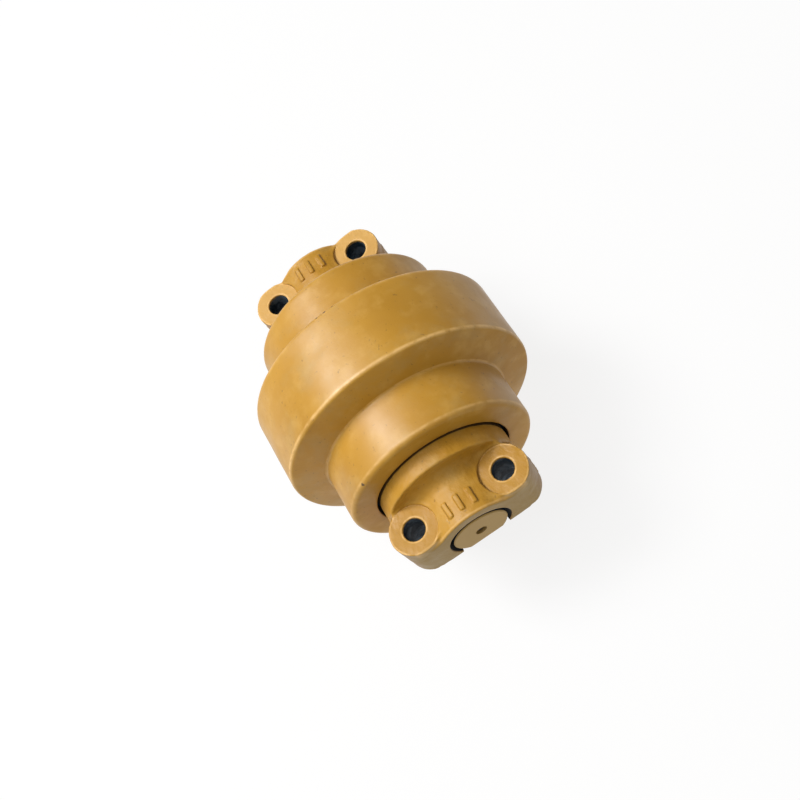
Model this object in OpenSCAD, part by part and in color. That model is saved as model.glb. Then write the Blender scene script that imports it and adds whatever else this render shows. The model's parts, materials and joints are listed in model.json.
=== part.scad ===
// Centre-flange track roller of a mini-excavator: a shell that turns on a fixed shaft,
// with a bolt-on collar at each end.
// Frame: +Y runs along the shaft to the rear collar, +Z points to the bolt head side of the
// bosses, and the collars' mating flats face -Z. The origin is on the shaft axis at mid-length.

/* [Frame bolts] */
// Distance between the two bolt holes of one collar
bolt_gap_x = 60; // [58:0.5:64]
// Distance between the bolt holes of the two collars, along the shaft
bolt_gap_y = 180; // [178:0.5:181]
// Diameter of a bolt hole, clearance for an M12 bolt
bolt_hole_d = 13.5; // [12.5:0.1:14.5]

/* [Roller shell] */
// Diameter of the two treads that the track links run on
tread_d = 120; // [114:1:126]
// Diameter of the centre flange that runs between the links
flange_d = 162; // [150:1:176]
// Width of the centre flange at its rim
flange_w = 49; // [42:1:52]
// Slope of the flange's side faces, in degrees from square
flange_slope = 16; // [12:1:20]
// Length of the shell
shell_len = 125; // [123:0.5:127]
// Bore of the shell that the bushes are pressed into
shell_bore_d = 48; // [47:0.5:49]

/* [Collars] */
// Length over both collars, which is also the shaft's length
overall_len = 210; // [208:0.5:212]
// Diameter of the collar's rim
rim_d = 84.4; // [83:0.2:85]
// Distance between the outer faces of the two rims
rim_span = 149; // [147:0.5:151]
// Diameter of the saddle over the shaft
saddle_d = 55; // [52:0.2:58]
// Outer diameter of a bolt boss
boss_d = 30; // [29:0.5:30]
// Diameter of the spot face round a bolt hole
spot_d = 28.6; // [26:0.2:28.8]
// Height of the spot faces over the shaft axis
spot_z = 20.7; // [19:0.1:22]
// Depth of the mating flats under the shaft axis
flat_z = 13; // [12:0.5:14]
// Diameter of the counterbore round the shaft's end
counterbore_d = 40.5; // [39:0.5:42]

/* [Shaft] */
// Diameter of the journals that run in the bushes
journal_d = 40; // [39:0.5:41]
// Diameter of the ends held by the collars
shaft_end_d = 35; // [33:0.5:36]
// Diameter of the oil gallery along the shaft
gallery_d = 6; // [5:0.5:7]
// Diameter of the oil plugs
plug_d = 7.2; // [6:0.1:9]
// Diameter of the spring pins that lock the collars
lock_pin_d = 8; // [7:0.5:8]

/* [Fits] */
// Radial clearance between journal and bush
running_gap = 0.05; // [0.02:0.01:0.1]
// Radial clearance between the shaft's end and the collar's bore
location_gap = 0.02; // [0.01:0.01:0.05]
// End play between bush flange and collar, and gap between the seal rings
end_play = 0.3; // [0.2:0.05:0.4]

/* [Hidden] */
$fn = 96;

ochre = [0.80, 0.58, 0.26];
bronze = [0.72, 0.50, 0.28];
seal_iron = [0.45, 0.45, 0.47];
steel = [0.62, 0.63, 0.65];
black_rubber = [0.08, 0.08, 0.09];

// Distances called _y are measured along the shaft from mid-length towards the rear.
eps = 0.5;
end_y = overall_len / 2;
rim_y = rim_span / 2;
shell_end_y = shell_len / 2;
bolt_x = bolt_gap_x / 2;
bolt_y = bolt_gap_y / 2;

// The rim of the collar turns inside the shell's mouth without touching it.
mouth_gap = 1.8;
mouth_r = rim_d / 2 + mouth_gap;
mouth_depth = 7;
mouth_y = shell_end_y - mouth_depth;
rim_inner_y = mouth_y + 1.5;

// Seal housings, half in the shell and half in the collar.
housing_r = 38;
housing_floor_y = mouth_y - 10.5;
housing_back_y = rim_inner_y + 11;
seal_plane_y = mouth_y + 0.8;

// Bushes
bush_flange_r = 29;
bush_flange_t = 3.5;
bush_outer_y = housing_floor_y + bush_flange_t;
reservoir_half_w = 12;
reservoir_r = shell_bore_d / 2 + 3;

// The shaft's shoulder and the collar's hub meet here.
shoulder_y = bush_outer_y + end_play;
hub_r = 28.5;

// Edges and fillets
tread_round = 3.5;
flange_round = 2.5;
foot_fillet = 1.5;
rim_round = 1.5;
saddle_fillet = 10;
saddle_round = 1.4;
shaft_chamfer = 0.6;
counterbore_depth = 9;

// Heights over the shaft axis of the block between the bosses and of the webs to the rim
block_z = 16.5;
web_z = 9.5;

// Locking pin: it enters from the mating flat and passes beside the oil gallery.
lock_pin_x = 10;
lock_pin_y = 84;
lock_pin_top = 21.5;
lock_pin_len = 33.5;
lock_pin_bore_d = 5;
lock_pin_slot = 1.2;

// Oil plug with a hexagon socket
plug_len = 9;
plug_recess = 2;
plug_socket_af = 4;
plug_socket_depth = 3.5;
plug_hole_depth = 14;

// O-ring in its groove, inside the collar's hub
o_ring_y = 60;
o_ring_d = 2.6;
o_groove_w = 3.6;
o_groove_floor_r = shaft_end_d / 2 - o_ring_d;

// Seal ring section
seal_bore_r = 30;
seal_rim_r = 36.5;
seal_rim_t = 2.75;
seal_step_r = 33.6;
seal_step_t = 4;
seal_tail_r = 32.4;
seal_len = 9;
toric_d = 4.6;
toric_ring_r = 35.5;
toric_back = 6.65;

// Plain raised bars cast on the saddle
mark_count = 3;
mark_y = 94.5;
mark_pitch = 8;
mark_w = 3;
mark_l = 10;
mark_h = 1.2;

// Points of an arc round c, from angle a0 to angle a1
function arc(c, r, a0, a1, n = 6) =
    [for (i = [0:n]) c + r * [cos(a0 + (a1 - a0) * i / n), sin(a0 + (a1 - a0) * i / n)]];

// Turns a profile, drawn as [radius, distance along the shaft], about the shaft axis.
module lathe() {
    rotate([-90, 0, 0]) rotate_extrude() children();
}

module disc(r, y0, y1) {
    translate([0, y0, 0]) rotate([-90, 0, 0]) cylinder(r = r, h = y1 - y0);
}

module ring(r_in, r_out, y0, y1) {
    lathe() translate([r_in, y0]) square([r_out - r_in, y1 - y0]);
}

// End parts are drawn at the rear. The front ones are the same parts turned round.
module at_front() {
    rotate([0, 0, 180]) children();
}

// ---- Shell ----

// The rear half of the shell's outline, from the middle of the flange to the end face
function shell_outside() = let (
    rim = [flange_d / 2 - flange_round, flange_w / 2 - flange_round],
    out = [sin(flange_slope), cos(flange_slope)],
    start = rim + flange_round * out,
    foot_r = tread_d / 2 + foot_fillet,
    foot_y = start[1] + (foot_fillet - (foot_r - start[0]) * out[0]) / out[1],
    corner = [tread_d / 2 - tread_round, shell_end_y - tread_round]
) concat(
    arc(rim, flange_round, 0, 90 - flange_slope),
    arc([foot_r, foot_y], foot_fillet, 270 - flange_slope, 180),
    arc(corner, tread_round, 0, 90)
);

// The rear half of the shell's inside, from the end face to the oil reservoir
function shell_inside() = [
    [mouth_r, shell_end_y],
    [mouth_r, mouth_y],
    [housing_r, mouth_y],
    [housing_r, housing_floor_y],
    [shell_bore_d / 2, housing_floor_y],
    [shell_bore_d / 2, reservoir_half_w + 3],
    [reservoir_r, reservoir_half_w]
];

module roller_shell() {
    rear = concat(shell_outside(), shell_inside());
    front = [for (i = [len(rear) - 1:-1:0]) [rear[i][0], -rear[i][1]]];
    color(ochre) lathe() polygon(concat(rear, front));
}

module bush() {
    color(bronze) lathe() polygon([
        [journal_d / 2 + running_gap, reservoir_half_w + 3],
        [shell_bore_d / 2, reservoir_half_w + 3],
        [shell_bore_d / 2, housing_floor_y],
        [bush_flange_r, housing_floor_y],
        [bush_flange_r, bush_outer_y],
        [journal_d / 2 + running_gap, bush_outer_y]
    ]);
}

module rear_bush() {
    bush();
}

module front_bush() {
    at_front() bush();
}

// ---- Floating seals ----

// One metal ring. way is 1 with its tail to the rear, and -1 with its tail to mid-length.
module seal_ring(way) {
    face_y = seal_plane_y + way * end_play / 2;
    color(seal_iron) lathe() polygon([
        [seal_bore_r, face_y],
        [seal_rim_r, face_y],
        [seal_rim_r, face_y + way * seal_rim_t],
        [seal_step_r, face_y + way * seal_step_t],
        [seal_tail_r, face_y + way * seal_len],
        [seal_bore_r, face_y + way * seal_len]
    ]);
}

module seal_toric(way) {
    centre_y = seal_plane_y + way * (end_play / 2 + toric_back);
    color(black_rubber) lathe() translate([toric_ring_r, centre_y]) circle(d = toric_d, $fn = 32);
}

module rear_fixed_seal_ring() {
    seal_ring(1);
}

module rear_turning_seal_ring() {
    seal_ring(-1);
}

module front_fixed_seal_ring() {
    at_front() seal_ring(1);
}

module front_turning_seal_ring() {
    at_front() seal_ring(-1);
}

module rear_fixed_toric() {
    seal_toric(1);
}

module rear_turning_toric() {
    seal_toric(-1);
}

module front_fixed_toric() {
    at_front() seal_toric(1);
}

module front_turning_toric() {
    at_front() seal_toric(-1);
}

// ---- Shaft and what is held in it ----

function shaft_half() = [
    [journal_d / 2, shoulder_y],
    [shaft_end_d / 2, shoulder_y],
    [shaft_end_d / 2, o_ring_y - o_groove_w / 2],
    [o_groove_floor_r, o_ring_y - o_groove_w / 2],
    [o_groove_floor_r, o_ring_y + o_groove_w / 2],
    [shaft_end_d / 2, o_ring_y + o_groove_w / 2],
    [shaft_end_d / 2, end_y - shaft_chamfer],
    [shaft_end_d / 2 - shaft_chamfer, end_y],
    [0, end_y]
];

// What is machined away at one end: the mating flat, the plug's hole and the pin's hole
module shaft_end_cuts() {
    translate([-shaft_end_d, rim_y, -flat_z - shaft_end_d]) cube([2 * shaft_end_d, end_y, shaft_end_d]);
    disc(plug_d / 2, end_y - plug_hole_depth, end_y + eps);
    lock_pin_hole();
}

module lock_pin_hole() {
    translate([lock_pin_x, lock_pin_y, -flat_z - eps])
        cylinder(d = lock_pin_d, h = flat_z + lock_pin_top + eps);
}

module shaft() {
    rear = shaft_half();
    front = [for (i = [len(rear) - 1:-1:0]) [rear[i][0], -rear[i][1]]];
    color(ochre) difference() {
        lathe() polygon(concat(rear, front));
        shaft_end_cuts();
        at_front() shaft_end_cuts();
        disc(gallery_d / 2, -end_y, end_y);
        translate([0, 0, -journal_d]) cylinder(d = gallery_d - 1, h = 2 * journal_d);
    }
}

module o_ring() {
    r = o_groove_floor_r + o_ring_d / 2;
    color(black_rubber) lathe() translate([r, o_ring_y]) circle(d = o_ring_d, $fn = 32);
}

module rear_shaft_o_ring() {
    o_ring();
}

module front_shaft_o_ring() {
    at_front() o_ring();
}

// A rolled spring pin with its slot along one side
module lock_pin() {
    color(steel) translate([lock_pin_x, lock_pin_y, lock_pin_top - lock_pin_len]) difference() {
        cylinder(d = lock_pin_d, h = lock_pin_len);
        translate([0, 0, -eps]) cylinder(d = lock_pin_bore_d, h = lock_pin_len + 2 * eps);
        translate([0, -lock_pin_slot / 2, -eps]) cube([lock_pin_d, lock_pin_slot, lock_pin_len + 2 * eps]);
    }
}

module rear_lock_pin() {
    lock_pin();
}

module front_lock_pin() {
    at_front() lock_pin();
}

module oil_plug() {
    face_y = end_y - plug_recess;
    color(steel) difference() {
        disc(plug_d / 2, face_y - plug_len, face_y);
        translate([0, face_y - plug_socket_depth, 0]) rotate([-90, 0, 0])
            cylinder(d = plug_socket_af / cos(30), h = plug_socket_depth + eps, $fn = 6);
    }
}

module rear_oil_plug() {
    oil_plug();
}

module front_oil_plug() {
    at_front() oil_plug();
}

// ---- Collars ----

// The turned part of the casting: hub, rim and saddle, with the fillet between the last two
function collar_outside() = let (
    rim_r = rim_d / 2,
    saddle_r = saddle_d / 2,
    corner = [rim_r - rim_round, rim_y - rim_round],
    hollow = [saddle_r + saddle_fillet, rim_y + saddle_fillet]
) concat(
    [[0, shoulder_y], [hub_r, shoulder_y], [hub_r, housing_back_y], [housing_r, housing_back_y]],
    [[housing_r, rim_inner_y], [rim_r, rim_inner_y]],
    arc(corner, rim_round, 0, 90),
    arc(hollow, saddle_fillet, 270, 180, 10),
    arc([saddle_r - saddle_round, end_y - saddle_round], saddle_round, 0, 90, 4),
    [[0, end_y]]
);

// Where a line from point p touches the circle round c, on the side away from the shaft axis
function touch_point(c, r, p) = let (
    way = c - p,
    reach = norm(way),
    heading = atan2(way[1], way[0]) - asin(r / reach)
) p + sqrt(reach * reach - r * r) * [cos(heading), sin(heading)];

// A block of a plan outline, from the mating flat up to a height over the shaft axis
module from_flat(top_z) {
    translate([0, 0, -flat_z]) linear_extrude(flat_z + top_z) children();
}

// The bosses up to the spot faces, and the narrow wall that joins them to the rim
module bosses() {
    wall_x = bolt_x + 5;
    from_flat(spot_z) union() {
        for (side = [-1, 1]) translate([side * bolt_x, bolt_y]) circle(d = boss_d);
        translate([-wall_x, rim_y - 2]) square([2 * wall_x, 3.5]);
    }
}

// The webs that run from the rim to the outer sides of the bosses, seen from above
module webs() {
    foot = [sqrt(pow(rim_d / 2, 2) - pow(web_z, 2)) - 0.5, rim_y - 2];
    touch = touch_point([bolt_x, bolt_y], boss_d / 2, foot);
    half = [[0, foot[1]], foot, touch, [bolt_x, bolt_y], [0, bolt_y]];
    from_flat(web_z) for (side = [-1, 1]) polygon([for (p = half) [side * p[0], p[1]]]);
}

// Plain raised bars that follow the saddle's curve
module cast_marks() {
    first = -(mark_count - 1) / 2;
    intersection() {
        ring(saddle_d / 2 - 1, saddle_d / 2 + mark_h, mark_y - mark_l, mark_y + mark_l);
        for (i = [0:mark_count - 1]) {
            mark_x = (first + i) * mark_pitch;
            translate([mark_x - mark_w / 2, mark_y - mark_l / 2, 0]) cube([mark_w, mark_l, saddle_d]);
        }
    }
}

module collar() {
    color(ochre) difference() {
        union() {
            lathe() polygon(collar_outside());
            from_flat(block_z) translate([-bolt_x, rim_y]) square([2 * bolt_x, end_y - rim_y]);
            bosses();
            webs();
            cast_marks();
        }
        translate([-rim_d, rim_y, -flat_z - rim_d]) cube([2 * rim_d, end_y, rim_d]);
        disc(shaft_end_d / 2 + location_gap, shoulder_y - eps, end_y + eps);
        disc(counterbore_d / 2, end_y - counterbore_depth, end_y + eps);
        for (side = [-1, 1]) translate([side * bolt_x, bolt_y, 0]) {
            translate([0, 0, -flat_z - eps]) cylinder(d = bolt_hole_d, h = flat_z + spot_z + 2 * eps);
            translate([0, 0, spot_z]) cylinder(d = spot_d, h = rim_d);
        }
        lock_pin_hole();
    }
}

module rear_collar() {
    collar();
}

module front_collar() {
    at_front() collar();
}

roller_shell();
front_bush();
rear_bush();
front_turning_seal_ring();
rear_turning_seal_ring();
front_turning_toric();
rear_turning_toric();
shaft();
front_collar();
rear_collar();
front_fixed_seal_ring();
rear_fixed_seal_ring();
front_fixed_toric();
rear_fixed_toric();
front_shaft_o_ring();
rear_shaft_o_ring();
front_lock_pin();
rear_lock_pin();
front_oil_plug();
rear_oil_plug();
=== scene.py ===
"""Looks of the centre-flange track roller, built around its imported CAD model.

The shaft lies along Y with the front collar at -Y, and the bolt heads are on the +Z side.
Blender lengths are in metres. The distance fields that shape the castings are in millimetres.
"""

import json
import math

import bpy
import numpy as np
from mathutils import Matrix, Vector


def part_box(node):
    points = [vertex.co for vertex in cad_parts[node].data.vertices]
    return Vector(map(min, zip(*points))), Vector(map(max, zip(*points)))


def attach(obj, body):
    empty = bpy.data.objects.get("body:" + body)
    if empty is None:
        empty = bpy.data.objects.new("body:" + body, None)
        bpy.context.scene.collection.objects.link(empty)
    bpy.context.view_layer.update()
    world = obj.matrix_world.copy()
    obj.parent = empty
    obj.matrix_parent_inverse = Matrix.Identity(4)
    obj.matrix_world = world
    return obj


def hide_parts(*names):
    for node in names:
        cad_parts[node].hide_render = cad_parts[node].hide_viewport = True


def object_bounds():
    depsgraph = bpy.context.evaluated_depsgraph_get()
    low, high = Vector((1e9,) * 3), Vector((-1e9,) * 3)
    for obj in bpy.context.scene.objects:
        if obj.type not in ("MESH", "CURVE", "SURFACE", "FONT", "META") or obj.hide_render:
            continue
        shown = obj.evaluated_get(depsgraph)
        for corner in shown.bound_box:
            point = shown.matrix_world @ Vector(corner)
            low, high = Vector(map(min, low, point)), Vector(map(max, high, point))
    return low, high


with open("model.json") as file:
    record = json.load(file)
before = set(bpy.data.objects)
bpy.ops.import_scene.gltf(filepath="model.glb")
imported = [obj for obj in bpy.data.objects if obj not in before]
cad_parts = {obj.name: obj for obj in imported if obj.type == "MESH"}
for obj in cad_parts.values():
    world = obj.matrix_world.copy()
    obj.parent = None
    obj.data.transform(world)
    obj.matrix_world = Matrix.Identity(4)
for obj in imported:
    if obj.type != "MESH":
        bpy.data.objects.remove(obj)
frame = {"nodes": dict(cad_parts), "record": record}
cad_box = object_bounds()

MM = 0.001

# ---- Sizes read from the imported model, in millimetres ----


def corner(node, axis):
    """The furthest reach of a CAD node along an axis, in millimetres."""
    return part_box(node)[1][axis] / MM


def mount(name):
    return next(m for m in frame["record"]["mounts"] if m["name"] == name)


BOLTS = mount("frame_bolts")["dims"]
BOLT_X = BOLTS["spacing_x_mm"] / 2
BOLT_Y = BOLTS["spacing_y_mm"] / 2
BOLT_R = BOLTS["hole_r_mm"]
FLAT_Z = -mount("frame_bolts")["pos_m"][2] / MM
TREAD_R = mount("front_tread")["pos_m"][2] / MM
FLANGE_R = corner("roller_shell", 2)
SHELL_Y = corner("roller_shell", 1)
END_Y = corner("rear_collar", 1)
RIM_R = corner("rear_collar", 2)
BOSS_R = corner("rear_collar", 0) - BOLT_X

# ---- Sizes that the design holds, in millimetres ----

FLANGE_HALF = 24.5
FLANGE_SLOPE = math.radians(16)
FLANGE_ROUND = 2.5
FOOT_FILLET = 1.5
TREAD_ROUND = 3.5
BORE_R = 24.0
RESERVOIR_R = 27.0
RESERVOIR_HALF = 12.0
MOUTH_R = 44.0
MOUTH_Y = 55.5
HOUSING_R = 38.0
HOUSING_FLOOR_Y = 45.0

RIM_Y = 74.5
RIM_INNER_Y = 57.0
HOUSING_BACK_Y = 68.0
HUB_R = 28.5
SHOULDER_Y = 48.8
SADDLE_R = 27.5
SADDLE_FILLET = 10.0
SPOT_R = 14.3
SPOT_Z = 20.7
COLLAR_BORE_R = 17.52
COUNTERBORE_R = 20.25
COUNTERBORE_DEPTH = 9.0
PIN_X = 10.0
PIN_Y = 84.0
PIN_R = 4.0
PIN_TOP = 21.5
BLOCK_Z = 16.5
WEB_Z = 9.5
MARK_COUNT = 3
MARK_Y = 94.5
MARK_PITCH = 8.0
MARK_W = 3.0
MARK_L = 10.0
MARK_H = 1.2

SHAFT_END_R = 17.5
PLUG_HOLE_R = 3.6
RING_PITCH = 0.8

# ---- Camera, lights and floor ----

FLOOR_HALF = 3.0
FLOOR_GREY = 0.12
FLOOR_GLOW = 0.84
SKY_COLOR = (1.0, 0.95, 0.88, 1)
SKY_STRENGTH = 0.24

# Soft lights: name, direction from the origin, distance and size in metres, power in watts
LIGHTS = [
    ("key", (-0.42, 0.34, 0.84), 2.4, 0.85, 44),
    ("top", (-0.38, 0.04, 0.93), 2.2, 1.6, 27),
    ("front", (-0.10, -0.72, 0.69), 2.4, 1.2, 4.5),
]

AZIMUTH = math.radians(8.46)
ELEVATION = math.radians(61.01)
ROLL = math.radians(-42.24)
DISTANCE = 0.6718
LENS = 49.44
SHIFT_RIGHT = -0.00007
SHIFT_UP = -0.00526


def view_axes():
    """Right, up and back of the camera before it is rolled."""
    sa, ca = math.sin(AZIMUTH), math.cos(AZIMUTH)
    se, ce = math.sin(ELEVATION), math.cos(ELEVATION)
    back = Vector((sa * ce, -ca * ce, se))
    right = Vector((ca, sa, 0))
    return right, back.cross(right), back


def make_camera():
    right, up, back = view_axes()
    place = back * DISTANCE + right * SHIFT_RIGHT + up * SHIFT_UP
    turn = Matrix((right, up, back)).transposed().to_4x4()
    data = bpy.data.cameras.new("camera")
    data.lens = LENS
    camera = bpy.data.objects.new("camera", data)
    camera.matrix_world = Matrix.Translation(place) @ turn @ Matrix.Rotation(ROLL, 4, "Z")
    bpy.context.scene.collection.objects.link(camera)
    bpy.context.scene.camera = camera


def area_light(name, direction, distance, size, power):
    """A square soft light in a direction from the origin, facing it."""
    data = bpy.data.lights.new(name, "AREA")
    data.size = size
    data.energy = power
    light = bpy.data.objects.new(name, data)
    place = Vector(direction).normalized() * distance
    light.location = place
    light.rotation_euler = place.to_track_quat("Z", "Y").to_euler()
    bpy.context.scene.collection.objects.link(light)


def make_stage():
    scene = bpy.context.scene
    scene.view_settings.view_transform = "Standard"
    world = bpy.data.worlds.new("world")
    world.use_nodes = True
    sky = world.node_tree.nodes["Background"]
    sky.inputs["Color"].default_value = SKY_COLOR
    sky.inputs["Strength"].default_value = SKY_STRENGTH
    scene.world = world
    for light in LIGHTS:
        area_light(*light)
    floor_z = cad_box[0][2]
    mesh = bpy.data.meshes.new("floor")
    square = ((-1, -1), (1, -1), (1, 1), (-1, 1))
    corners = [(x * FLOOR_HALF, y * FLOOR_HALF, floor_z) for x, y in square]
    mesh.from_pydata(corners, [], [(0, 1, 2, 3)])
    mesh.materials.append(floor_material())
    floor = bpy.data.objects.new("floor", mesh)
    scene.collection.objects.link(floor)


def floor_material():
    """A white table lit from inside, so that shadows on it stay faint."""
    mat = bpy.data.materials.new("floor")
    mat.use_nodes = True
    shader = mat.node_tree.nodes["Principled BSDF"]
    shader.inputs["Base Color"].default_value = (FLOOR_GREY, FLOOR_GREY, FLOOR_GREY, 1)
    shader.inputs["Roughness"].default_value = 0.9
    shader.inputs["Specular IOR Level"].default_value = 0.0
    shader.inputs["Emission Color"].default_value = (1, 1, 1, 1)
    shader.inputs["Emission Strength"].default_value = FLOOR_GLOW
    return mat


# ---- Mesh making ----


def finish_mesh(name, points_mm, faces, mat, body, node, smooth_angle):
    """A piece that rides on a body and stands for a CAD node, smooth except at its sharp edges."""
    mesh = bpy.data.meshes.new(name)
    mesh.from_pydata((np.asarray(points_mm) * MM).tolist(), [], faces)
    mesh.materials.append(mat)
    mesh.shade_smooth()
    mesh.set_sharp_from_angle(angle=math.radians(smooth_angle))
    piece = bpy.data.objects.new(name, mesh)
    bpy.context.scene.collection.objects.link(piece)
    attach(piece, body)
    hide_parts(node)


def arc(centre, radius, start, end, steps):
    """Points on an arc, with its angles in degrees."""
    angles = np.radians(np.linspace(start, end, steps + 1))
    return [(centre[0] + radius * math.cos(a), centre[1] + radius * math.sin(a)) for a in angles]


def spaced(profile, step):
    """A closed profile with points added so that no stretch is longer than step."""
    out = []
    for a, b in zip(profile, profile[1:] + profile[:1]):
        n = max(1, math.ceil(math.dist(a, b) / step))
        out += [(a[0] + (b[0] - a[0]) * i / n, a[1] + (b[1] - a[1]) * i / n) for i in range(n)]
    return out


def turned(profile, segments):
    """Points and faces of a closed profile of (radius, y) turned about the Y axis."""
    rows = np.array(profile)
    angles = np.arange(segments) * 2 * math.pi / segments
    r, a = np.meshgrid(rows[:, 0], angles, indexing="ij")
    y = np.repeat(rows[:, 1:2], segments, axis=1)
    points = np.stack([r * np.sin(a), y, r * np.cos(a)], axis=-1).reshape(-1, 3)
    count = len(rows)
    i, j = np.meshgrid(np.arange(count), np.arange(segments), indexing="ij")
    i2, j2 = (i + 1) % count, (j + 1) % segments
    faces = np.stack([i * segments + j, i2 * segments + j, i2 * segments + j2, i * segments + j2], axis=-1)
    return points, faces.reshape(-1, 4).tolist()


def waves(points, length, seed):
    """Smooth noise from about -1 to 1 at each point, with bumps of about that length."""
    rng = np.random.default_rng(seed)
    total = np.zeros(len(points))
    directions = rng.normal(size=(14, 3))
    directions /= np.linalg.norm(directions, axis=1, keepdims=True)
    for d in directions:
        total += np.sin(points @ d * 2 * math.pi / (length * rng.uniform(0.7, 1.5)) + rng.uniform(0, 6.28))
    return total / 5


# ---- Distance fields ----


def smooth_min(a, b, k):
    h = np.maximum(k - np.abs(a - b), 0) / k
    return np.minimum(a, b) - h * h * k / 4


def smooth_max(a, b, k):
    return -smooth_min(-a, -b, k)


def rectangle(u, v, u0, u1, v0, v1, rounding=0.0):
    """Distance to a rectangle, with rounded corners."""
    du = np.abs(u - (u0 + u1) / 2) - (u1 - u0) / 2 + rounding
    dv = np.abs(v - (v0 + v1) / 2) - (v1 - v0) / 2 + rounding
    return np.minimum(np.maximum(du, dv), 0) + np.hypot(np.maximum(du, 0), np.maximum(dv, 0)) - rounding


def surface_net(field, low, high, cell):
    """Points and quads where a distance field crosses zero, in a box sampled every cell."""
    axes = [np.arange(low[i], high[i] + cell, cell) for i in range(3)]
    shape = tuple(len(a) for a in axes)
    values = np.empty(shape)
    for i, x in enumerate(axes[0]):
        y, z = np.meshgrid(axes[1], axes[2], indexing="ij")
        slab = np.stack([np.full(y.size, x), y.ravel(), z.ravel()], axis=1)
        values[i] = field(slab).reshape(y.shape)
    cells = tuple(n - 1 for n in shape)
    total = np.zeros(cells + (3,))
    count = np.zeros(cells)
    quads = []
    index = np.arange(math.prod(cells)).reshape(cells)
    for axis in range(3):
        a = np.moveaxis(values, axis, 0)
        first, second = a[:-1], a[1:]
        crossing = (first < 0) != (second < 0)
        crossing[:, 0] = crossing[:, -1] = False
        crossing[:, :, 0] = crossing[:, :, -1] = False
        at = np.argwhere(crossing)
        before, after = first[crossing], second[crossing]
        others = [k for k in range(3) if k != axis]
        grid = np.empty_like(at)
        grid[:, axis] = at[:, 0]
        grid[:, others[0]] = at[:, 1]
        grid[:, others[1]] = at[:, 2]
        point = grid.astype(float)
        point[:, axis] += before / (before - after)
        ring = []
        for du, dv in ((-1, -1), (0, -1), (0, 0), (-1, 0)):
            corner_cell = grid.copy()
            corner_cell[:, others[0]] += du
            corner_cell[:, others[1]] += dv
            key = tuple(corner_cell.T)
            np.add.at(total, key, point)
            np.add.at(count, key, 1)
            ring.append(index[key])
        quad = np.stack(ring, axis=1)
        flip = (before < 0) != (axis == 1)
        quad[~flip] = quad[~flip][:, ::-1]
        quads.append(quad)
    used = count.ravel() > 0
    points = total.reshape(-1, 3)[used] / count.ravel()[used, None]
    points = np.array([a[0] for a in axes]) + points * cell
    number = np.cumsum(used) - 1
    return points, number[np.concatenate(quads)]


def onto_surface(field, points, rounds=3, reach=0.3):
    """Moves points along the field's slope until they lie on its zero surface."""
    step = 0.02
    for _ in range(rounds):
        value = field(points)
        slope = np.stack([(field(points + step * e) - value) / step for e in np.eye(3)], axis=1)
        size = np.maximum((slope**2).sum(1), 0.25)
        move = -(value / size)[:, None] * slope
        length = np.linalg.norm(move, axis=1, keepdims=True)
        points = points + move * np.minimum(1, reach / np.maximum(length, 1e-9))
    return points


# ---- Collar ----


def touch_point(centre, radius, point):
    """Where a line from a point touches a circle, on the side away from the shaft axis."""
    way = (centre[0] - point[0], centre[1] - point[1])
    reach = math.hypot(*way)
    heading = math.atan2(way[1], way[0]) - math.asin(radius / reach)
    length = math.sqrt(reach**2 - radius**2)
    return point[0] + length * math.cos(heading), point[1] + length * math.sin(heading)


def web_plan(x, y):
    """Distance to the outline of the webs that run from the rim to the bosses' outer sides."""
    foot = (math.sqrt(RIM_R**2 - WEB_Z**2) - 0.5, RIM_Y - 2)
    touch = touch_point((BOLT_X, BOLT_Y), BOSS_R, foot)
    along = (touch[0] - foot[0], touch[1] - foot[1])
    side = ((np.abs(x) - foot[0]) * along[1] - (y - foot[1]) * along[0]) / math.hypot(*along)
    return np.maximum(np.maximum(side, y - BOLT_Y), foot[1] - y)


def upto(plan, z, top, rounding):
    """A plan outline raised from the mating flat to a height, with its upper edge rounded."""
    return np.maximum(smooth_max(plan, z - top, rounding), -FLAT_Z - z)


def cast_marks(x, y, z, r):
    """Plain raised bars on the saddle."""
    middle = (MARK_COUNT - 1) / 2
    nearest = np.clip(np.round(x / MARK_PITCH), -middle, middle) * MARK_PITCH
    plan = rectangle(x - nearest, y - MARK_Y, -MARK_W / 2, MARK_W / 2, -MARK_L / 2, MARK_L / 2, 0.8)
    return np.where(z > 0, smooth_max(plan, np.abs(r - SADDLE_R) - MARK_H, 0.8), 10.0)


def collar_casting(p):
    """Distance to the rough casting of the rear collar, before machining."""
    x, y, z = p[:, 0], p[:, 1], p[:, 2]
    r = np.hypot(x, z)
    rim = rectangle(r, y, -RIM_R, RIM_R, RIM_INNER_Y, RIM_Y, 1.2)
    hub = rectangle(r, y, -HUB_R, HUB_R, SHOULDER_Y, RIM_Y, 0.3)
    saddle = rectangle(r, y, -SADDLE_R, SADDLE_R, RIM_Y - 4, END_Y + 2)
    bend = SADDLE_R + SADDLE_FILLET
    hollow = SADDLE_FILLET - np.hypot(r - bend, y - RIM_Y - SADDLE_FILLET)
    fillet = np.maximum(rectangle(r, y, -bend, bend, RIM_Y - 1, RIM_Y + SADDLE_FILLET), hollow)
    body = smooth_min(np.minimum(rim, hub), smooth_min(saddle, fillet, 0.6), 0.8)
    bosses = upto(np.hypot(np.abs(x) - BOLT_X, y - BOLT_Y) - BOSS_R, z, SPOT_Z + 0.1, 0.9)
    wall = upto(rectangle(x, y, -BOLT_X - 5, BOLT_X + 5, RIM_Y - 2, RIM_Y + 1.5), z, SPOT_Z - 0.3, 0.6)
    block = upto(rectangle(x, y, -BOLT_X, BOLT_X, RIM_Y - 2, END_Y + 2), z, BLOCK_Z, 1.0)
    webs = upto(web_plan(x, y), z, WEB_Z, 0.6)
    shape = smooth_min(smooth_min(block, bosses, 2.0), body, 4.5)
    shape = smooth_min(smooth_min(shape, wall, 0.8), webs, 1.0)
    return smooth_min(shape, cast_marks(x, y, z, r), 0.6)


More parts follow.
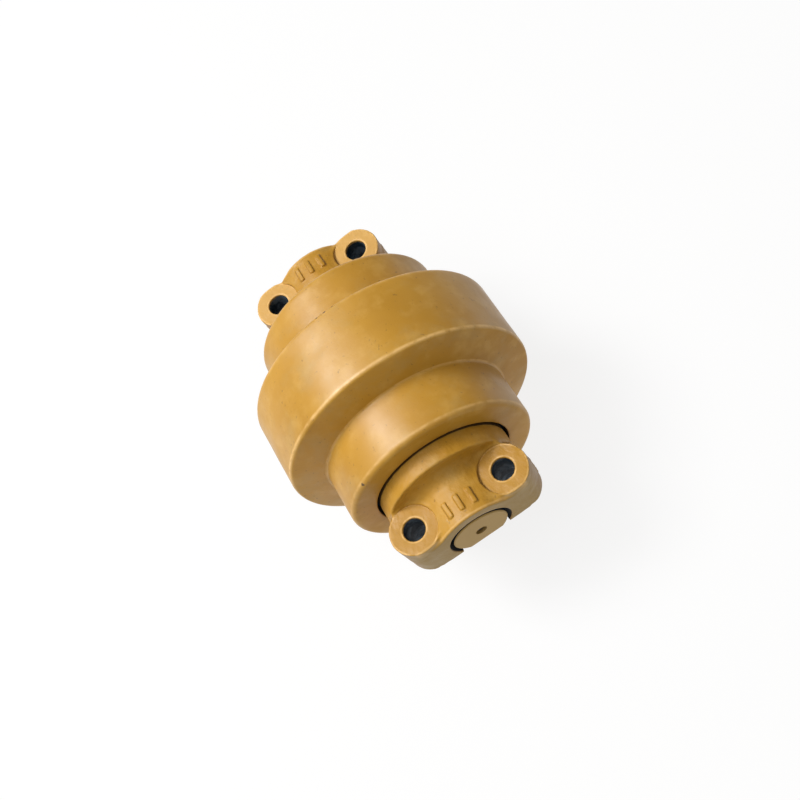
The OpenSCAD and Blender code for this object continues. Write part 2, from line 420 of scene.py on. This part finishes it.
def collar_field(p):
    """Distance to the finished rear collar."""
    x, y, z = p[:, 0], p[:, 1], p[:, 2]
    r = np.hypot(x, z)
    shape = collar_casting(p) + 0.10 * waves(p, 9.0, 3) + 0.05 * waves(p, 3.5, 4)
    keep = 0.35
    for side in (-1, 1):
        from_bolt = np.hypot(x - side * BOLT_X, y - BOLT_Y)
        shape = smooth_max(shape, -np.maximum(from_bolt - SPOT_R, SPOT_Z - z), keep)
        hole = np.minimum(from_bolt - BOLT_R, from_bolt - BOLT_R - 0.4 + np.abs(SPOT_Z - z))
        shape = smooth_max(shape, -hole, 0.3)
    shape = smooth_max(shape, y - END_Y, 1.6)
    shape = smooth_max(shape, -np.maximum(z + FLAT_Z, RIM_Y - y), 0.6)
    counterbore = np.maximum(r - COUNTERBORE_R, END_Y - COUNTERBORE_DEPTH - y)
    shape = smooth_max(shape, -counterbore, keep)
    shape = smooth_max(shape, COLLAR_BORE_R + 0.03 - r, keep)
    housing = np.maximum(np.abs(r - (HOUSING_R + HUB_R) / 2) - (HOUSING_R - HUB_R) / 2, y - HOUSING_BACK_Y)
    shape = smooth_max(shape, -housing, keep)
    pin = np.maximum(np.hypot(x - PIN_X, y - PIN_Y) - PIN_R, z - PIN_TOP)
    return smooth_max(shape, -pin, 0.3)


def make_collars(mat):
    cell = 0.65
    low = (-BOLT_X - BOSS_R - 2, SHOULDER_Y - 2, -RIM_R - 2)
    high = (BOLT_X + BOSS_R + 2, END_Y + 2, RIM_R + 2)
    points, quads = surface_net(collar_field, low, high, cell)
    points = onto_surface(collar_field, points)
    quads = quads.tolist()
    turned_round = points * np.array([-1, -1, 1])
    for end, placed in (("rear", points), ("front", turned_round)):
        name = end + "_collar"
        finish_mesh(name + "_casting", placed, quads, mat, "fixed_axle", name, 50)


# ---- Shell ----


def shell_profile():
    """The closed outline of the shell as (radius, y), with its front half mirrored from its rear."""
    out = (math.sin(FLANGE_SLOPE), math.cos(FLANGE_SLOPE))
    rim = (FLANGE_R - FLANGE_ROUND, FLANGE_HALF - FLANGE_ROUND)
    start = (rim[0] + FLANGE_ROUND * out[0], rim[1] + FLANGE_ROUND * out[1])
    foot_r = TREAD_R + FOOT_FILLET
    foot_y = start[1] + (FOOT_FILLET - (foot_r - start[0]) * out[0]) / out[1]
    slope = math.degrees(FLANGE_SLOPE)
    half = arc(rim, FLANGE_ROUND, 0, 90 - slope, 5)
    half += arc((foot_r, foot_y), FOOT_FILLET, 270 - slope, 180, 5)
    half += arc((TREAD_R - TREAD_ROUND, SHELL_Y - TREAD_ROUND), TREAD_ROUND, 0, 90, 6)
    half += arc((MOUTH_R + 0.8, SHELL_Y - 0.8), 0.8, 90, 180, 3)
    half += [(MOUTH_R, MOUTH_Y), (HOUSING_R, MOUTH_Y), (HOUSING_R, HOUSING_FLOOR_Y)]
    half += [(BORE_R, HOUSING_FLOOR_Y), (BORE_R, RESERVOIR_HALF + 3), (RESERVOIR_R, RESERVOIR_HALF)]
    return half + [(r, -y) for r, y in reversed(half)]


def make_shell(mat):
    segments = 400
    points, faces = turned(spaced(shell_profile(), 1.6), segments)
    r = np.hypot(points[:, 0], points[:, 2])
    outside = np.clip((r - MOUTH_R - 2) / 3, 0, 1)
    sink = outside * (0.05 + 0.035 * waves(points, 26.0, 11) + 0.015 * waves(points, 9.0, 12))
    points[:, 0] -= points[:, 0] / r * sink
    points[:, 2] -= points[:, 2] / r * sink
    finish_mesh("roller_shell_forging", points, faces, mat, "roller", "roller_shell", 30)


# ---- Materials, with places in millimetres and noise in bumps to the metre ----


class Nodes:
    """Short calls that add shader nodes and link them."""

    def __init__(self, name):
        self.mat = bpy.data.materials.new(name)
        self.mat.use_nodes = True
        self.tree = self.mat.node_tree
        self.shader = self.tree.nodes["Principled BSDF"]
        here = self.add("ShaderNodeTexCoord")
        self.place = here.outputs["Object"]
        self.normal = here.outputs["Normal"]
        scaled = self.add("ShaderNodeVectorMath", operation="SCALE")
        self.put(scaled.inputs[0], self.place)
        scaled.inputs["Scale"].default_value = 1 / MM
        self.place_mm = scaled.outputs["Vector"]

    def add(self, kind, **settings):
        node = self.tree.nodes.new(kind)
        for key, value in settings.items():
            setattr(node, key, value)
        return node

    def put(self, socket, value):
        if isinstance(value, bpy.types.NodeSocket):
            self.tree.links.new(value, socket)
        else:
            socket.default_value = value

    def math(self, operation, a, b=0.0):
        node = self.add("ShaderNodeMath", operation=operation)
        self.put(node.inputs[0], a)
        self.put(node.inputs[1], b)
        return node.outputs[0]

    def times(self, first, *others):
        product = first
        for other in others:
            product = self.math("MULTIPLY", product, other)
        return product

    def highest(self, first, *others):
        top = first
        for other in others:
            top = self.math("MAXIMUM", top, other)
        return top

    def noise(self, scale, detail=3.0, roughness=0.5, move=(0, 0, 0)):
        """Noise from 0 to 1, about scale bumps to the metre."""
        mapping = self.add("ShaderNodeMapping")
        self.put(mapping.inputs["Vector"], self.place)
        mapping.inputs["Location"].default_value = move
        node = self.add("ShaderNodeTexNoise")
        self.put(node.inputs["Vector"], mapping.outputs[0])
        node.inputs["Scale"].default_value = scale
        node.inputs["Detail"].default_value = detail
        node.inputs["Roughness"].default_value = roughness
        return node.outputs["Fac"]

    def rise(self, value, low, high, start=0.0, end=1.0):
        """A smooth rise from start to end as value goes from low to high."""
        node = self.add("ShaderNodeMapRange", interpolation_type="SMOOTHSTEP")
        self.put(node.inputs["Value"], value)
        self.put(node.inputs["From Min"], low)
        self.put(node.inputs["From Max"], high)
        self.put(node.inputs["To Min"], start)
        self.put(node.inputs["To Max"], end)
        return node.outputs["Result"]

    def near(self, value, at, width):
        """1 where value is at, falling to 0 a width away from it."""
        return self.rise(self.math("ABSOLUTE", self.math("SUBTRACT", value, at)), 0.0, width, 1.0, 0.0)

    def mix(self, factor, a, b):
        node = self.add("ShaderNodeMix", data_type="RGBA")
        self.put(node.inputs["Factor"], factor)
        self.put(node.inputs["A"], a if isinstance(a, bpy.types.NodeSocket) else (*a, 1))
        self.put(node.inputs["B"], b if isinstance(b, bpy.types.NodeSocket) else (*b, 1))
        return node.outputs["Result"]

    def split(self, vector):
        node = self.add("ShaderNodeSeparateXYZ")
        self.put(node.inputs[0], vector)
        return node.outputs

    def axes(self):
        """X, the distance from mid-length, Z, and the distance from the shaft's axis."""
        x, y, z = self.split(self.place_mm)
        squares = self.math("ADD", self.times(x, x), self.times(z, z))
        return x, self.math("ABSOLUTE", y), z, self.math("SQRT", squares)

    def toward_rear(self):
        """Distance from mid-length along the shaft, positive at the rear."""
        return self.split(self.place_mm)[1]

    def facing(self, axis):
        """How far the surface faces along an axis, from -1 to 1."""
        return self.split(self.normal)[axis]

    def bump(self, height, distance, strength, normal=None):
        """A bumpy normal, whose height is distance metres, over another one if it is given."""
        node = self.add("ShaderNodeBump")
        self.put(node.inputs["Height"], height)
        node.inputs["Distance"].default_value = distance
        node.inputs["Strength"].default_value = strength
        if normal is not None:
            self.put(node.inputs["Normal"], normal)
        return node.outputs["Normal"]

    def finish(self, color, roughness, normal, metallic=0.0):
        self.put(self.shader.inputs["Base Color"], color)
        self.put(self.shader.inputs["Roughness"], roughness)
        self.put(self.shader.inputs["Metallic"], metallic)
        self.put(self.shader.inputs["Normal"], normal)
        return self.mat


OCHRE = (0.470, 0.244, 0.028)
OCHRE_DEEP = (0.395, 0.195, 0.016)
OCHRE_PALE = (0.56, 0.330, 0.075)
# Pale ochre for worn paint and for painted highlights on edges and faces that catch the light
OCHRE_WORN_AND_HIGHLIGHT = (0.72, 0.45, 0.16)
# Greyer ochre: painted shade on collar faces near the ends that do not face up
OCHRE_SIDE_SHADE = (0.33, 0.215, 0.068)
OCHRE_DULL = (0.40, 0.265, 0.088)
# Darker ochre: painted shade on the collars' outer flanks next to the rim
OCHRE_FLANK_SHADE = (0.26, 0.125, 0.025)
DIRT = (0.10, 0.055, 0.02)
# Near-black brown: painted shade in the seal gap and the oil plug's recess
RECESS_SHADE = (0.075, 0.042, 0.016)
# Dark steel: bare steel in the bolt holes and the shaft, and painted shade in the shell's mouth and the
# gap round the shaft
OILY_STEEL_AND_SHADE = (0.012, 0.028, 0.045)
# Paler steel patches in the bolt holes: bare steel, partly a painted glint
BARE_STEEL_GLINT = (0.10, 0.14, 0.18)
SHADOW = (0.002, 0.003, 0.005)

# Chips in the shell's paint: angle from +Z in degrees, distance along the shaft, radius, half width
CHIPS = [
    (-40, -60.6, 58.6, 1.3),
    (-5.3, 23.6, 80.5, 0.8),
    (-1.5, 23.7, 80.4, 1.1),
    (2.5, 23.7, 80.4, 0.8),
    (152, -40, 60, 1.1),
]


def paint_color(n):
    """Ochre paint with uneven cover, dull and pale patches, and fine specks."""
    cover = n.rise(n.noise(16, 4), 0.35, 0.68)
    dull = n.rise(n.noise(42, 5, 0.65, move=(0.7, 0.2, 0.5)), 0.48, 0.72, 0, 0.4)
    pale = n.rise(n.noise(75, 5, 0.6, move=(0.3, 0.1, 0.2)), 0.45, 0.75, 0, 0.5)
    specks = n.rise(n.noise(420, 2), 0.66, 0.76, 0, 0.4)
    color = n.mix(cover, OCHRE, OCHRE_DEEP)
    color = n.mix(dull, color, OCHRE_DULL)
    color = n.mix(pale, color, OCHRE_PALE)
    return n.mix(specks, color, DIRT)


def shine(n, most, dark):
    """Sets the sheen: less on faces square to the shaft, and hardly any on bare steel and where shade is
    painted.
    """
    along = n.math("ABSOLUTE", n.facing(1))
    level = n.rise(along, 0.6, 0.9, most, 0.22)
    n.put(n.shader.inputs["Specular IOR Level"], n.times(level, n.rise(dark, 0, 1, 1, 0.12)))


def chip_mask(n):
    """1 inside the chips, whose outlines are ragged."""
    ragged = n.times(n.math("SUBTRACT", n.noise(700, 3), 0.5), 0.9)
    total = 0.0
    for degrees, y, r, half in CHIPS:
        angle = math.radians(degrees)
        way = n.add("ShaderNodeVectorMath", operation="DISTANCE")
        n.put(way.inputs[0], n.place_mm)
        way.inputs[1].default_value = (r * math.sin(angle), y, r * math.cos(angle))
        inside = n.rise(n.math("ADD", way.outputs["Value"], ragged), half * 0.8, half, 1, 0)
        total = n.highest(inside, total)
    return total


def shell_wear_and_highlights(n, y, r, rear):
    """How pale the shell's edges are made, from 0 to 1: partly worn paint, partly painted highlight on
    roundings that catch the light. Less at the rear.
    """
    flange_edge = n.times(n.near(y, FLANGE_HALF - 1.9, 1.6), n.rise(r, FLANGE_R - 2.5, FLANGE_R - 1.5))
    tread_edge = n.times(n.near(y, SHELL_Y - 2.5, 1.4), n.rise(r, TREAD_R - 3, TREAD_R - 2))
    tread_foot = n.times(n.near(y, FLANGE_HALF + 4.9, 1.0), n.rise(r, TREAD_R + 1, TREAD_R + 1.6, 1, 0))
    tread_edges = n.times(n.math("ADD", tread_edge, tread_foot), 0.6)
    edges = n.math("ADD", flange_edge, tread_edges)
    less_at_rear = n.rise(rear, -10, 10, 1, 0.35)
    return n.times(edges, less_at_rear, n.rise(n.noise(140, 5, 0.6), 0.35, 0.6, 0.25, 0.85))


def shell_paint():
    n = Nodes("shell_paint")
    x, y, z, r = n.axes()
    rear = n.toward_rear()
    # The shell's edges are made pale: partly worn paint, partly painted highlight.
    color = n.mix(shell_wear_and_highlights(n, y, r, rear), paint_color(n), OCHRE_WORN_AND_HIGHLIGHT)
    # Dirt and painted shade in the crease where the flange meets the tread.
    foot = n.times(n.near(r, TREAD_R + 1.2, 2.0), n.near(rear, FLANGE_HALF + 4.3, 2.5))
    color = n.mix(n.times(foot, n.rise(n.noise(240, 5, 0.6), 0.35, 0.7, 0.05, 0.3)), color, DIRT)
    # Painted shade: the inside of the shell's mouth is near black.
    mouth_shade = n.rise(r, MOUTH_R - 0.1, MOUTH_R + 0.3, 1, 0)
    color = n.mix(mouth_shade, color, OILY_STEEL_AND_SHADE)
    chips = chip_mask(n)
    color = n.mix(chips, color, DIRT)
    rough = n.rise(n.noise(60, 4), 0.3, 0.7, 0.36, 0.48)
    pits = n.math("SUBTRACT", n.noise(900, 3), n.times(chips, 3.0))
    grain = n.bump(pits, 0.00008, 0.6)
    normal = n.bump(n.noise(120, 4), 0.0003, 0.35, grain)
    shine(n, 0.55, mouth_shade)
    return n.finish(color, rough, normal)


def from_bolt_axis(n, x, y):
    """Distance from the nearest bolt's axis."""
    side = n.math("SUBTRACT", n.math("ABSOLUTE", x), BOLT_X)
    along = n.math("SUBTRACT", y, BOLT_Y)
    return n.math("SQRT", n.math("ADD", n.times(side, side), n.times(along, along)))


def collar_coat(n, y):
    """Paint with painted shade: greyer on faces near the ends that do not face up, and darker on the outer
    flanks next to the rim.
    """
    # Painted shade: faces near the ends that do not face up are greyer.
    sideways = n.rise(n.facing(2), 0.15, 0.5, 1, 0)
    side_shade = n.times(sideways, n.rise(y, RIM_Y + 8.5, RIM_Y + 15.5))
    color = n.mix(side_shade, paint_color(n), OCHRE_SIDE_SHADE)
    # Painted shade: outer flanks next to the rim are darker.
    outward = n.rise(n.math("ABSOLUTE", n.facing(0)), 0.5, 0.9, 0, 0.6)
    return n.mix(n.times(outward, n.rise(y, RIM_Y + 1.5, RIM_Y + 9.5)), color, OCHRE_FLANK_SHADE)


def collar_wear_and_painted_light(n, color, y, z, r, bolt):
    """Spot faces with painted light, a shade darker at the front and paler at the rear, and pale edges
    that are partly worn paint and partly painted highlight.
    """
    face = n.times(n.near(z, SPOT_Z, 0.9), n.rise(bolt, SPOT_R + 0.5, SPOT_R + 0.9, 1, 0))
    # Painted light: the front spot faces are a shade darker and the rear ones paler.
    rear = n.rise(n.toward_rear(), -10, 10)
    color = n.mix(n.times(face, n.rise(rear, 0, 1, 0.75, 0)), color, OCHRE_DEEP)
    color = n.mix(n.times(face, n.rise(rear, 0, 1, 0, 0.4)), color, OCHRE_WORN_AND_HIGHLIGHT)
    # Pale lips round the spot faces: partly worn paint, partly painted highlight.
    lips = n.highest(n.near(bolt, BOLT_R + 0.65, 0.9), n.near(bolt, SPOT_R + 0.2, 0.9))
    lip_wear_and_highlight = n.times(lips, face, n.rise(n.noise(160, 4, 0.6), 0.35, 0.6, 0.2, 0.9))
    color = n.mix(lip_wear_and_highlight, color, OCHRE_WORN_AND_HIGHLIGHT)
    # Painted highlight along the saddle's end edge.
    saddle = n.times(n.rise(r, SADDLE_R - 2, SADDLE_R - 1), n.rise(z, 12, 20))
    end_edge = n.times(n.near(y, END_Y - 1.1, 1.2), saddle)
    return n.mix(n.times(end_edge, 0.5), color, OCHRE_WORN_AND_HIGHLIGHT)


def collar_paint():
    n = Nodes("collar_paint")
    x, y, z, r = n.axes()
    bolt = from_bolt_axis(n, x, y)
    color = collar_wear_and_painted_light(n, collar_coat(n, y), y, z, r, bolt)
    overspray = n.math("ADD", z, n.times(n.math("SUBTRACT", n.noise(110, 4), 0.5), 4.0))
    below = n.rise(overspray, SPOT_Z - 2.2, SPOT_Z - 0.9, 1, 0)
    hole = n.times(n.rise(bolt, BOLT_R + 0.2, BOLT_R + 0.5, 1, 0), below)
    # Paler patches in the bolt holes: bare steel with a painted glint.
    steel_glint_patch = n.rise(n.noise(120, 3, move=(0.1, 0.4, 0)), 0.42, 0.6)
    color = n.mix(hole, color, n.mix(steel_glint_patch, OILY_STEEL_AND_SHADE, BARE_STEEL_GLINT))
    inside = n.rise(y, END_Y - 0.9, END_Y - 0.5, 1, 0)
    bore = n.times(n.rise(r, COUNTERBORE_R + 0.2, COUNTERBORE_R + 0.5, 1, 0), inside)
    color = n.mix(bore, color, SHADOW)
    # Painted shade on the rim inside the seal gap.
    gap_shade = n.times(n.rise(y, SHELL_Y - 0.2, SHELL_Y + 0.4, 1, 0), n.rise(r, RIM_R - 1.7, RIM_R - 1.2))
    color = n.mix(gap_shade, color, RECESS_SHADE)
    rough = n.rise(n.noise(80, 4), 0.3, 0.7, 0.4, 0.55)
    grain = n.bump(n.noise(650, 4, 0.6), 0.0002, 0.9)
    normal = n.bump(n.noise(160, 4), 0.0012, 0.5, grain)
    shine(n, 0.36, n.highest(n.times(hole, 0.8), bore, gap_shade))
    return n.finish(color, rough, normal)


def shaft_paint():
    n = Nodes("shaft_paint")
    x, y, z, r = n.axes()
    color = n.mix(0.85, paint_color(n), OCHRE_DULL)
    # Painted shade in the oil plug's recess.
    color = n.mix(n.rise(r, PLUG_HOLE_R - 0.2, PLUG_HOLE_R + 0.1, 1, 0), color, RECESS_SHADE)
    # The shaft's unpainted steel, near black: bare steel inside, and painted shade where its side shows in
    # the gap.
    below_face = n.rise(y, END_Y - 1.1, END_Y - 0.7, 1, 0)
    outer = n.rise(r, SHAFT_END_R - 1.5, SHAFT_END_R - 1.0)
    deep = n.rise(y, END_Y - 3.5, END_Y - 2.5, 1, 0)
    bare_steel_and_gap_shade = n.highest(n.times(below_face, outer), deep)
    color = n.mix(bare_steel_and_gap_shade, color, OILY_STEEL_AND_SHADE)
    shine(n, 0.36, bare_steel_and_gap_shade)
    return n.finish(color, 0.52, n.bump(n.noise(700, 3), 0.0001, 0.6))


def plain(name, light, dark, scale, roughness, metallic=0.0):
    """A material whose colour and roughness vary a little."""
    n = Nodes(name)
    patch = n.noise(scale, 5, 0.6)
    color = n.mix(n.rise(patch, 0.35, 0.65), light, dark)
    rough = n.rise(patch, 0.3, 0.7, roughness - 0.08, roughness + 0.08)
    return n.finish(color, rough, n.bump(n.noise(scale * 6, 3), 0.00005, 0.5), metallic)


def turned_metal(name, light, dark, roughness):
    """Metal turned on a lathe: fine rings round the shaft's axis."""
    n = Nodes(name)
    x, y, z, r = n.axes()
    rings = n.math("SINE", n.times(n.math("ADD", r, y), 2 * math.pi / RING_PITCH))
    patch = n.noise(90, 4)
    color = n.mix(n.rise(patch, 0.35, 0.65), light, dark)
    rough = n.rise(patch, 0.3, 0.7, roughness - 0.08, roughness + 0.08)
    return n.finish(color, rough, n.bump(rings, 0.00001, 0.5), 1.0)


def dress(nodes, mat):
    """Gives CAD nodes that stay a material of their own."""
    for name in nodes:
        mesh = frame["nodes"][name].data
        mesh.materials.clear()
        mesh.materials.append(mat)


def both_ends(name):
    return ["front_" + name, "rear_" + name]


def dress_inner_nodes():
    dress(both_ends("bush"), turned_metal("bronze", (0.55, 0.33, 0.13), (0.40, 0.22, 0.08), 0.35))
    rings = both_ends("fixed_seal_ring") + both_ends("turning_seal_ring")
    dress(rings, turned_metal("seal_iron", (0.35, 0.35, 0.37), (0.22, 0.22, 0.24), 0.3))
    rubbers = both_ends("fixed_toric") + both_ends("turning_toric") + both_ends("shaft_o_ring")
    dress(rubbers, plain("rubber", (0.022, 0.022, 0.024), (0.012, 0.012, 0.013), 150, 0.6))
    steel = plain("steel", (0.30, 0.29, 0.28), (0.16, 0.14, 0.12), 200, 0.42, 1.0)
    dress(both_ends("lock_pin") + both_ends("oil_plug"), steel)


make_camera()
make_stage()
make_shell(shell_paint())
make_collars(collar_paint())
dress(["shaft"], shaft_paint())
dress_inner_nodes()
